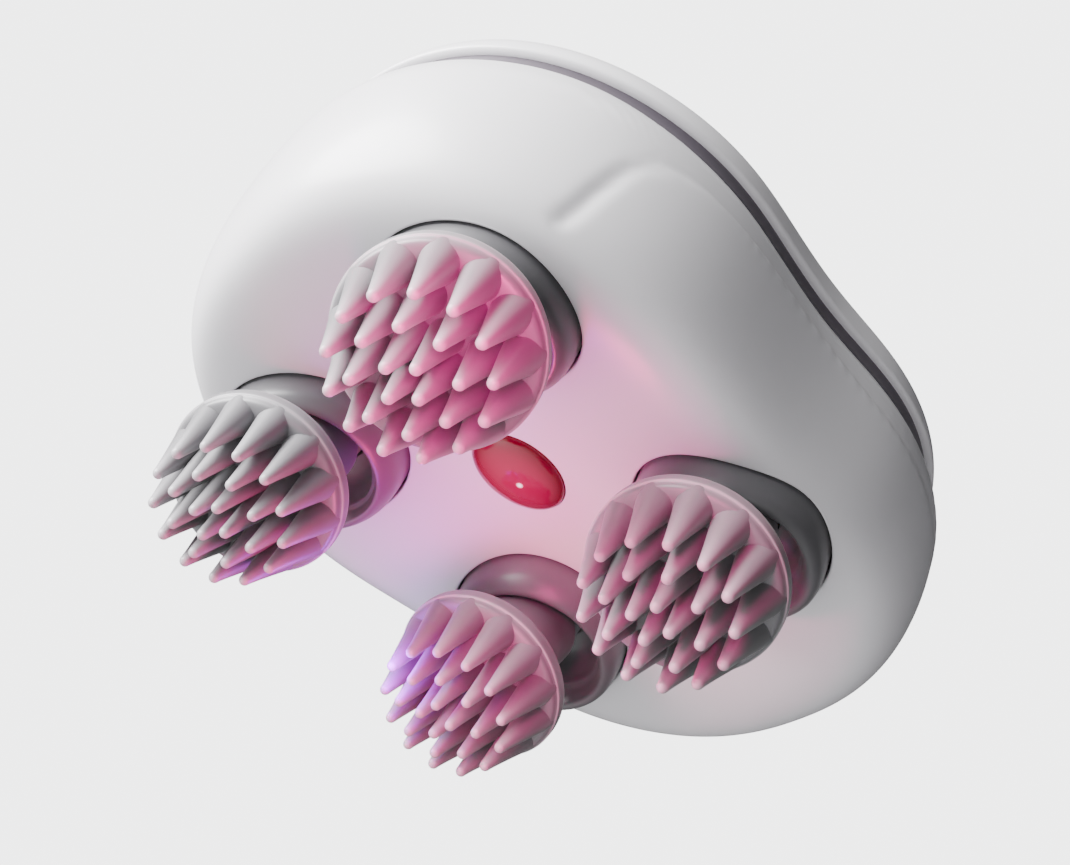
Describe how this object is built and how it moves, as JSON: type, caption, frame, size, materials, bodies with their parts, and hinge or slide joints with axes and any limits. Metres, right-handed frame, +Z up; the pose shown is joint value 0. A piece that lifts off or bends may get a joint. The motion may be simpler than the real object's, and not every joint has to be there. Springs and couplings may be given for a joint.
{
  "type": "scalp massager brush",
  "caption": "Hand-held electric scalp massager: rounded white shell, tilted silicone finger heads driven by cranks, and a red lamp between them.",
  "frame": {"origin": "centre of the bounding box's base: on the plane of the lowest finger tips, under the middle of the body", "axes": "+X along the body's length towards its narrower, charging end; +Z up from the finger tips to the domed cover; +Y across the body"},
  "size_m": [0.1154, 0.0904, 0.0763],
  "materials": {
    "shell_white": "glossy white",
    "band_purple": "satin dark purple-grey",
    "boot_grey": "satin dark grey silicone",
    "head_grey": "satin grey silicone",
    "core_plastic": "moulded grey",
    "gear_plastic": "natural acetal",
    "frame_plastic": "moulded light grey",
    "steel": "bright steel",
    "bronze": "sintered bronze",
    "copper": "copper windings on a steel core",
    "lens_red": "clear red, lit",
    "board_green": "solder mask",
    "chip_black": "moulded black",
    "battery_blue": "shrink-wrapped",
    "button_white": "glossy",
    "ring_silver": "plated"
  },
  "bodies": {
    "housing": {"base_screws": "steel", "battery_cell": "battery_blue", "board_chips": "chip_black", "boot_a": "boot_grey", "boot_b": "boot_grey", "boot_c": "boot_grey", "boot_d": "boot_grey", "button_board": "board_green", "button_ring": "ring_silver", "central_axle": "steel", "charging_socket": "steel", "clamp_ring_a": "frame_plastic", "clamp_ring_b": "frame_plastic", "clamp_ring_c": "frame_plastic", "clamp_ring_d": "frame_plastic", "control_board": "board_green", "crank_bushes": "bronze", "deck_screws": "steel", "gearbox_base": "frame_plastic", "gearbox_deck": "frame_plastic", "idler_axle": "steel", "lamp_board": "board_green", "lamp_chips": "button_white", "lamp_lens": "lens_red", "lens_seal": "chip_black", "lower_shell": "shell_white", "motor_can": "steel", "motor_end_cap": "frame_plastic", "motor_screws": "steel", "power_switch": "chip_black", "seam_band": "band_purple", "top_cover": "shell_white"},
    "central": {"central_gear": "gear_plastic"},
    "idler": {"idler_gear": "gear_plastic"},
    "rotor": {"motor_pinion": "bronze", "motor_shaft": "steel", "motor_rotor": "copper"},
    "button": {"power_button": "button_white"},
    "crank_a": {"crank_gear_a": "gear_plastic", "crank_pin_a": "steel", "pin_clip_a": "steel"},
    "head_a": {"head_core_a": "core_plastic", "head_cap_a": "head_grey"},
    "crank_b": {"crank_gear_b": "gear_plastic", "crank_pin_b": "steel", "pin_clip_b": "steel"},
    "head_b": {"head_core_b": "core_plastic", "head_cap_b": "head_grey"},
    "crank_c": {"crank_gear_c": "gear_plastic", "crank_pin_c": "steel", "pin_clip_c": "steel"},
    "head_c": {"head_core_c": "core_plastic", "head_cap_c": "head_grey"},
    "crank_d": {"crank_gear_d": "gear_plastic", "crank_pin_d": "steel", "pin_clip_d": "steel"},
    "head_d": {"head_core_d": "core_plastic", "head_cap_d": "head_grey"}
  },
  "joints": [
    {"name": "rotor_spin", "type": "hinge", "parent": "housing", "child": "rotor", "pos_m": [-0.00145, 0, 0.05496], "axis": [0, 0, 1], "continuous": true},
    {"name": "idler_spin", "type": "hinge", "parent": "housing", "child": "idler", "pos_m": [0.01935, 0, 0.04796], "axis": [0, 0, 1], "continuous": true},
    {"name": "central_spin", "type": "hinge", "parent": "housing", "child": "central", "pos_m": [-0.00425, 0, 0.04496], "axis": [0, 0, 1], "continuous": true},
    {"name": "crank_a_spin", "type": "hinge", "parent": "housing", "child": "crank_a", "pos_m": [-0.02659, -0.0212, 0.03416], "axis": [0, 0, 1], "continuous": true},
    {"name": "head_a_spin", "type": "hinge", "parent": "crank_a", "child": "head_a", "pos_m": [-0.02659, -0.0212, 0.03416], "axis": [0.1515, 0.3248, 0.9336], "continuous": true},
    {"name": "crank_b_spin", "type": "hinge", "parent": "housing", "child": "crank_b", "pos_m": [-0.02659, 0.0212, 0.03416], "axis": [0, 0, 1], "continuous": true},
    {"name": "head_b_spin", "type": "hinge", "parent": "crank_b", "child": "head_b", "pos_m": [-0.02659, 0.0212, 0.03416], "axis": [0.2157, 0.2862, 0.9336], "continuous": true},
    {"name": "crank_c_spin", "type": "hinge", "parent": "housing", "child": "crank_c", "pos_m": [0.01809, 0.0212, 0.03416], "axis": [0, 0, 1], "continuous": true},
    {"name": "head_c_spin", "type": "hinge", "parent": "crank_c", "child": "head_c", "pos_m": [0.01809, 0.0212, 0.03416], "axis": [0.3221, 0.1571, 0.9336], "continuous": true},
    {"name": "crank_d_spin", "type": "hinge", "parent": "housing", "child": "crank_d", "pos_m": [0.01809, -0.0212, 0.03416], "axis": [0, 0, 1], "continuous": true},
    {"name": "head_d_spin", "type": "hinge", "parent": "crank_d", "child": "head_d", "pos_m": [0.01809, -0.0212, 0.03416], "axis": [0.2899, 0.2106, 0.9336], "continuous": true},
    {"name": "button_press", "type": "slide", "parent": "housing", "child": "button", "axis": [0, 0, -1], "range_m": [0, 0.0008], "stiffness_N_per_m": 2500, "springref_m": -0.0004}
  ],
  "couplings": [
    {"joint": "rotor_spin", "follows": "crank_a_spin", "ratio": -8.3333},
    {"joint": "idler_spin", "follows": "crank_a_spin", "ratio": 2.5},
    {"joint": "central_spin", "follows": "crank_a_spin", "ratio": -0.6383},
    {"joint": "head_a_spin", "follows": "crank_a_spin", "ratio": -1},
    {"joint": "crank_b_spin", "follows": "crank_a_spin", "ratio": 1},
    {"joint": "head_b_spin", "follows": "crank_a_spin", "ratio": -1},
    {"joint": "crank_c_spin", "follows": "crank_a_spin", "ratio": 1},
    {"joint": "head_c_spin", "follows": "crank_a_spin", "ratio": -1},
    {"joint": "crank_d_spin", "follows": "crank_a_spin", "ratio": 1},
    {"joint": "head_d_spin", "follows": "crank_a_spin", "ratio": -1}
  ]
}
